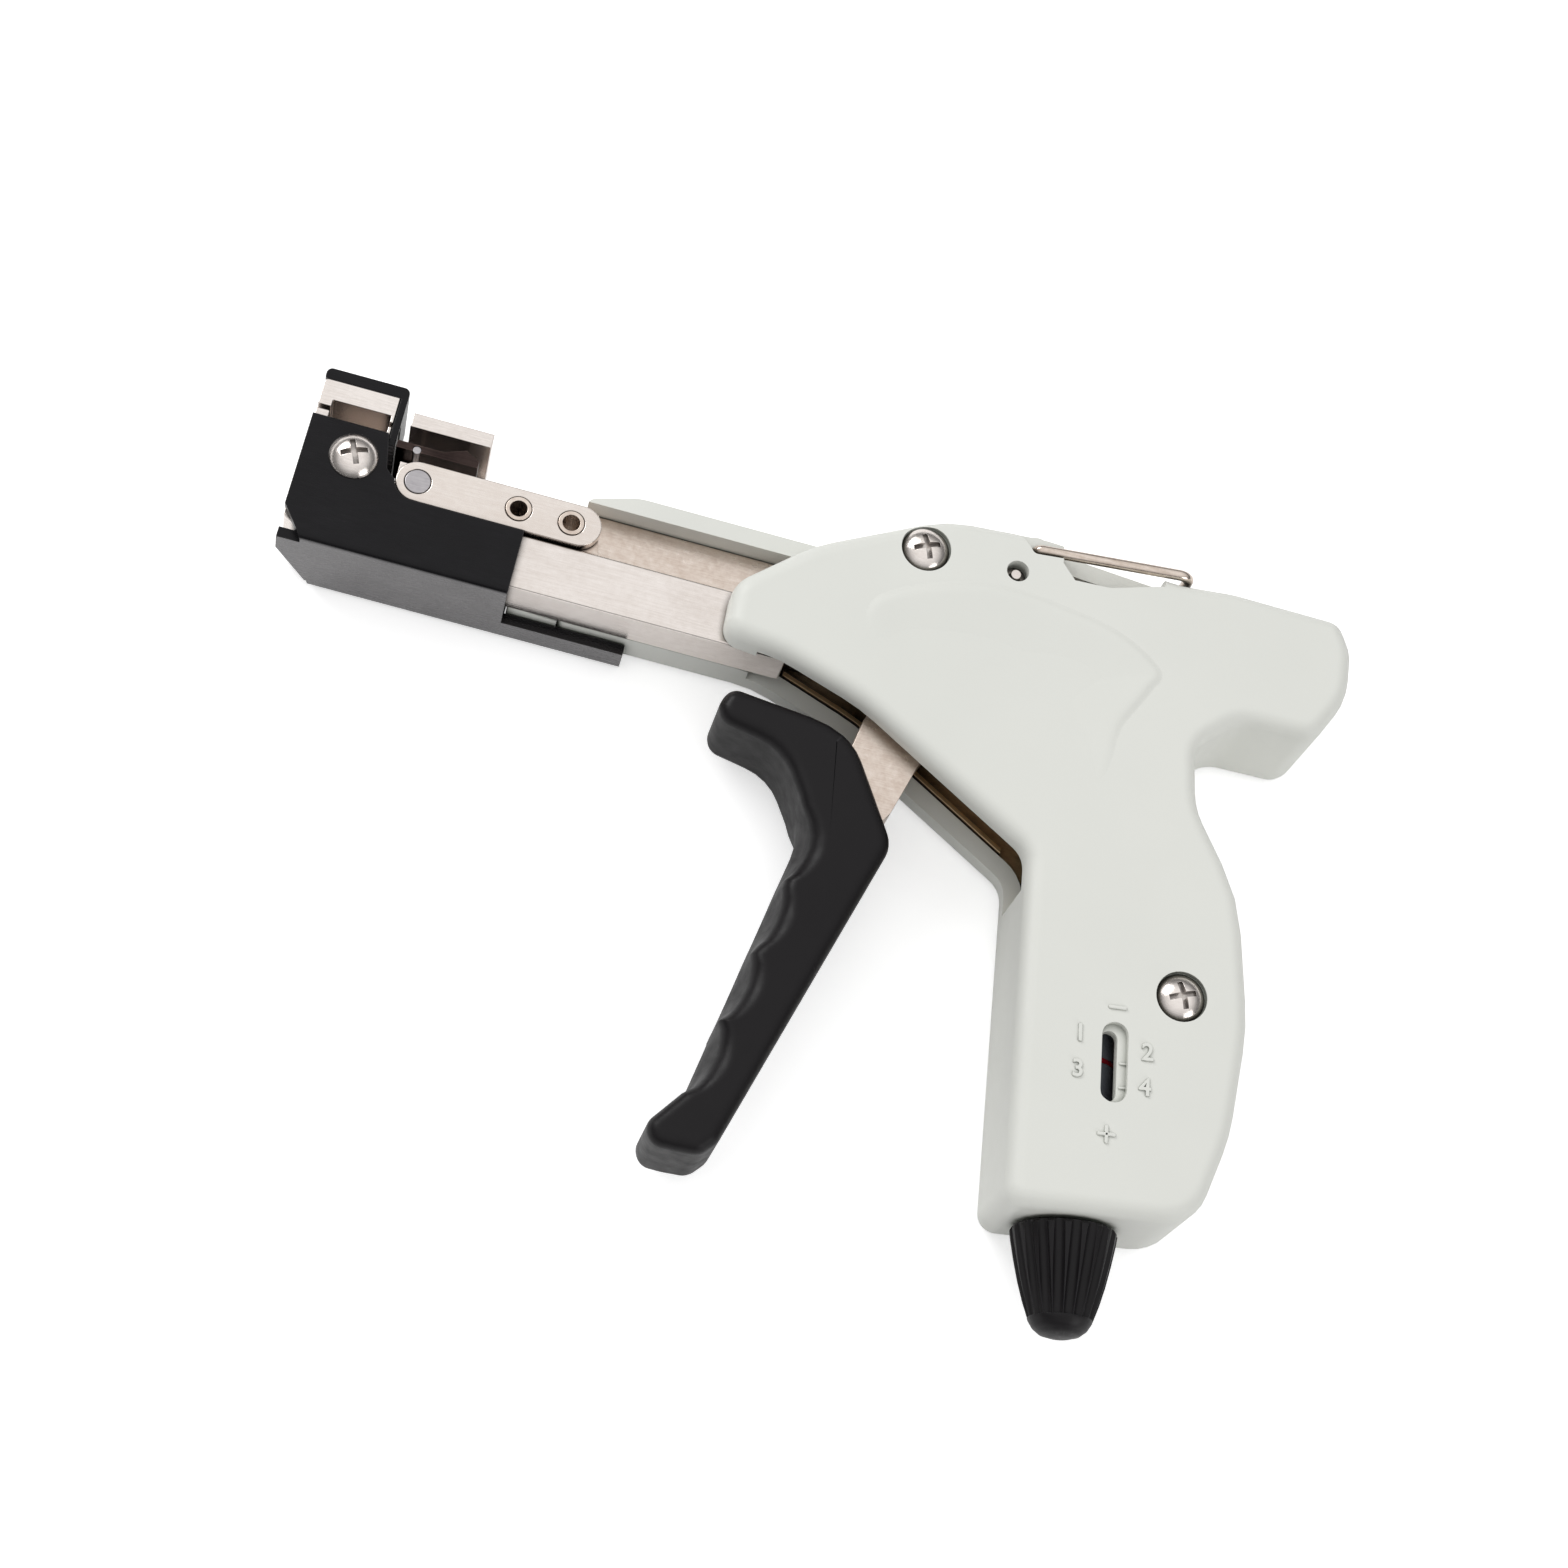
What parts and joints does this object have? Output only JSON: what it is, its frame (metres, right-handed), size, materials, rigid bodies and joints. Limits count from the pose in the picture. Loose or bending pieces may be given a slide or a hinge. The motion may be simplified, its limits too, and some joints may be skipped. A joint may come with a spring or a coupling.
{
  "type": "cable tie tensioning tool",
  "caption": "Pistol-grip cable tie tensioning tool: squeeze trigger, pull bar with gripper, cut-off blade in the nose, tension knob with a dial window, wire bail.",
  "frame": {"origin": "on the trigger pivot's axis, in the flat outer face of the right shell on which the tool rests when it lies on its side", "axes": "+X along the barrel towards the tail, with the nose at -X; +Y towards the tool's top, with the handle and the knob at -Y; +Z through its thickness, from the resting face to the face with the dial window"},
  "size_m": [0.1736, 0.1275, 0.0232],
  "materials": {
    "shell_plastic": "pale grey-green moulded plastic, satin gloss",
    "black_plastic": "black moulded plastic, satin",
    "nickel": "nickel plated steel, bright satin",
    "link_nickel": "polished nickel plate",
    "bar_steel": "drawn steel bar, brownish satin",
    "black_oxide": "black oxide finish on sheet steel, soft sheen",
    "zinc": "zinc plated",
    "yellow_zinc": "yellow passivated sheet steel",
    "tool_steel": "hardened steel, dark ground",
    "brass": "turned brass",
    "spring_steel": "spring wire",
    "sleeve_grey": "grey moulded plastic",
    "ring_red": "dark red paint",
    "bail_wire": "nickel plated wire"
  },
  "bodies": {
    "body": {"right_shell": "shell_plastic", "left_shell": "shell_plastic", "body_screws": "nickel", "body_nuts": "zinc", "inner_plate_right": "yellow_zinc", "inner_plate_left": "yellow_zinc", "barrel_frame": "nickel", "nose_cover": "black_oxide", "nose_screw": "nickel", "nose_nut": "zinc", "front_head": "nickel", "head_cap": "black_oxide", "trigger_pin": "nickel", "trigger_spring": "spring_steel", "rocker_pin": "zinc", "rod_guide": "brass", "tension_spring": "spring_steel", "knob_bush": "brass"},
    "puller": {"pull_bar": "bar_steel", "link_plate_left": "link_nickel", "link_plate_right": "link_nickel", "hollow_pins": "bar_steel", "jaw_rivet": "zinc", "gripper_jaw": "nickel", "pawl_pin": "zinc", "bar_pin": "zinc"},
    "pawl": {"gripper_pawl": "tool_steel"},
    "link": {"drive_link": "zinc"},
    "trigger": {"trigger_grip": "black_plastic", "trigger_lever": "bar_steel", "lever_pin": "zinc"},
    "rocker": {"rocker": "zinc", "cutoff_pin": "zinc"},
    "cutoff": {"cutoff_bar": "zinc"},
    "blade": {"cutter_blade": "tool_steel"},
    "rod": {"tension_rod": "zinc", "rod_pin": "zinc", "spring_cap": "zinc"},
    "indicator": {"indicator_sleeve": "sleeve_grey", "indicator_ring": "ring_red"},
    "knob": {"tension_knob": "black_plastic", "knob_stem": "zinc", "stem_clip": "spring_steel"},
    "bail": {"bail": "bail_wire"}
  },
  "joints": [
    {"name": "trigger_squeeze", "type": "hinge", "parent": "body", "child": "trigger", "pos_m": [0, 0, 0.011], "axis": [0, 0, 1], "range_deg": [0, 20], "stiffness_Nm_per_rad": 0.12, "springref_deg": -17.19, "deforming": ["trigger_spring"]},
    {"name": "pull_slide", "type": "slide", "parent": "body", "child": "puller", "axis": [1, 0, 0], "range_m": [0, 0.00954]},
    {"name": "link_pivot", "type": "hinge", "parent": "puller", "child": "link", "pos_m": [-0.03099, -0.01148, 0.011], "axis": [0, 0, 1], "range_deg": [-5.13, 0]},
    {"name": "pawl_pivot", "type": "hinge", "parent": "puller", "child": "pawl", "pos_m": [-0.0986, -0.00426, 0.009], "axis": [0, 0, 1], "range_deg": [-2.5, 4], "stiffness_Nm_per_rad": 0.001},
    {"name": "rocker_pivot", "type": "hinge", "parent": "body", "child": "rocker", "pos_m": [0.02702, -0.03024, 0.011], "axis": [0, 0, 1], "range_deg": [0, 8.5]},
    {"name": "cutoff_slide", "type": "slide", "parent": "body", "child": "cutoff", "axis": [-1, 0, 0], "range_m": [0, 0.00193], "stiffness_N_per_m": 60, "springref_m": -0.002},
    {"name": "blade_slide", "type": "slide", "parent": "body", "child": "blade", "axis": [0, 1, 0], "range_m": [0, 0.00194]},
    {"name": "rod_slide", "type": "slide", "parent": "body", "child": "rod", "axis": [0.134, -0.991, 0], "range_m": [0, 0.0012], "deforming": ["tension_spring"]},
    {"name": "knob_turn", "type": "hinge", "parent": "body", "child": "knob", "pos_m": [0.02861, -0.10167, 0.011], "axis": [-0.134, 0.991, 0], "range_deg": [-1440, 1620]},
    {"name": "indicator_slide", "type": "slide", "parent": "body", "child": "indicator", "axis": [-0.134, 0.991, 0], "range_m": [-0.004, 0.0045], "deforming": ["tension_spring"]},
    {"name": "bail_swing", "type": "hinge", "parent": "body", "child": "bail", "pos_m": [0.00265, 0.00524, 0.011], "axis": [0, 0, 1], "range_deg": [0, 100]}
  ],
  "couplings": [
    {"joint": "pull_slide", "follows": "trigger_squeeze", "m_per_rad": 0.027303},
    {"joint": "link_pivot", "follows": "trigger_squeeze", "ratio": -0.25408},
    {"joint": "rocker_pivot", "follows": "cutoff_slide", "rad_per_m": 76.876},
    {"joint": "blade_slide", "follows": "cutoff_slide", "ratio": 1},
    {"joint": "rod_slide", "follows": "cutoff_slide", "ratio": 0.61501},
    {"joint": "knob_turn", "follows": "indicator_slide", "rad_per_m": 6283.2}
  ]
}
